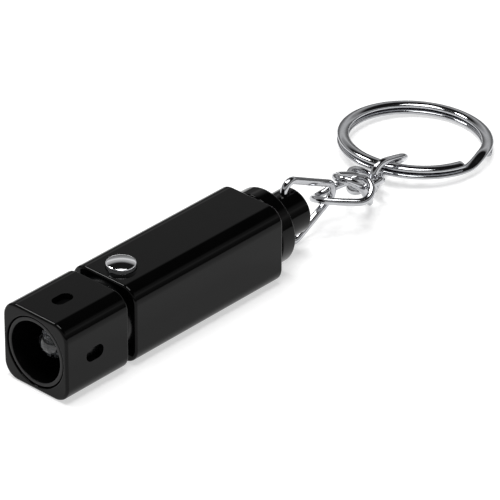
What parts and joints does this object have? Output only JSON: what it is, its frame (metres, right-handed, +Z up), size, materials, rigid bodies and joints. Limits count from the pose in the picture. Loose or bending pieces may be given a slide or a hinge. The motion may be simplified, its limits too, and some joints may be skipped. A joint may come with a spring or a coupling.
{
  "type": "keychain flashlight",
  "caption": "Square black metal keychain flashlight with a push button, a screwed tail cap, a wire loop, a short curb chain and a split ring.",
  "frame": {"origin": "middle of the flat face of the square body that the torch rests on", "axes": "+X along the beam, +Z up through the push button, +Y to the left of the beam"},
  "size_m": [0.1037, 0.0249, 0.0141],
  "materials": {
    "black_lacquer": "glossy black lacquer",
    "black_barrel": "dark grey satin",
    "clear_epoxy": "clear cast epoxy",
    "led_metal": "tinned, satin",
    "white_plastic": "natural white, moulded",
    "black_plastic": "moulded",
    "chrome_plate": "polished",
    "chrome_wire": "polished, slightly worn",
    "chrome_ring": "polished",
    "spring_steel": "bright drawn",
    "cell_steel": "nickel-plated",
    "circuit_board": "green solder mask",
    "contact_brass": "plain",
    "seal_rubber": "matt black"
  },
  "bodies": {
    "torch": {"head_sleeve": "black_lacquer", "light_barrel": "black_barrel", "led_lens": "clear_epoxy", "led_die_cup": "led_metal", "led_legs": "led_metal", "led_holder": "black_plastic", "body_sleeve": "black_lacquer", "switch_case": "black_plastic", "snap_dome": "spring_steel", "switch_board": "circuit_board", "contact_carrier": "white_plastic", "front_contact": "contact_brass", "battery_tube": "white_plastic", "cell_1": "cell_steel", "cell_2": "cell_steel", "cell_3": "cell_steel", "cell_4": "cell_steel"},
    "button": {"button_cap": "chrome_plate"},
    "plunger": {"switch_plunger": "black_plastic"},
    "seal": {"tail_o_ring": "seal_rubber"},
    "tail": {"tail_cap": "black_lacquer", "battery_spring": "spring_steel"},
    "loop": {"wire_loop": "chrome_wire"},
    "link_1": {"chain_link_1": "chrome_wire"},
    "link_2": {"chain_link_2": "chrome_wire"},
    "link_3": {"chain_link_3": "chrome_wire"},
    "link_4": {"chain_link_4": "chrome_wire"},
    "ring": {"split_ring": "chrome_ring"}
  },
  "joints": [
    {"name": "button_press", "type": "slide", "parent": "torch", "child": "button", "axis": [0, 0, -1], "range_m": [0, 0.0004], "stiffness_N_per_m": 800, "springref_m": -0.0003},
    {"name": "plunger_press", "type": "slide", "parent": "torch", "child": "plunger", "axis": [0, 0, -1], "range_m": [0, 0.0004], "deforming": ["snap_dome"]},
    {"name": "tail_travel", "type": "slide", "parent": "torch", "child": "seal", "axis": [-1, 0, 0], "range_m": [0, 0.003]},
    {"name": "tail_turn", "type": "hinge", "parent": "seal", "child": "tail", "pos_m": [0, 0, 0.0065], "axis": [-1, 0, 0], "range_deg": [0, 1440]},
    {"name": "loop_swing", "type": "hinge", "parent": "tail", "child": "loop", "pos_m": [-0.0234, 0, 0.0065], "axis": [0, 0, 1], "range_deg": [-100, 100]},
    {"name": "link_1_swing", "type": "hinge", "parent": "loop", "child": "link_1", "pos_m": [-0.0345, 0, 0.00579], "axis": [0.2025, 0, -0.9793], "range_deg": [-30, 50]},
    {"name": "link_2_swing", "type": "hinge", "parent": "link_1", "child": "link_2", "pos_m": [-0.03733, 0.00367, 0.00643], "axis": [-0.5996, 0.0127, -0.8002], "range_deg": [0, 76]},
    {"name": "link_3_swing", "type": "hinge", "parent": "link_2", "child": "link_3", "pos_m": [-0.03962, 0.00203, 0.00485], "axis": [-0.5847, 0.6558, 0.4776], "range_deg": [-76, 6]},
    {"name": "link_4_swing", "type": "hinge", "parent": "link_3", "child": "link_4", "pos_m": [-0.04689, -0.00177, 0.00144], "axis": [0.016, 0.0497, -0.9986], "range_deg": [0, 52]},
    {"name": "ring_swing", "type": "hinge", "parent": "link_4", "child": "ring", "pos_m": [-0.04951, -0.00308, 0.00272], "axis": [-0.2176, 0.9759, -0.0152], "range_deg": [-76, 76]}
  ],
  "couplings": [
    {"joint": "plunger_press", "follows": "button_press", "ratio": 1},
    {"joint": "tail_turn", "follows": "tail_travel", "rad_per_m": 8377.6}
  ]
}
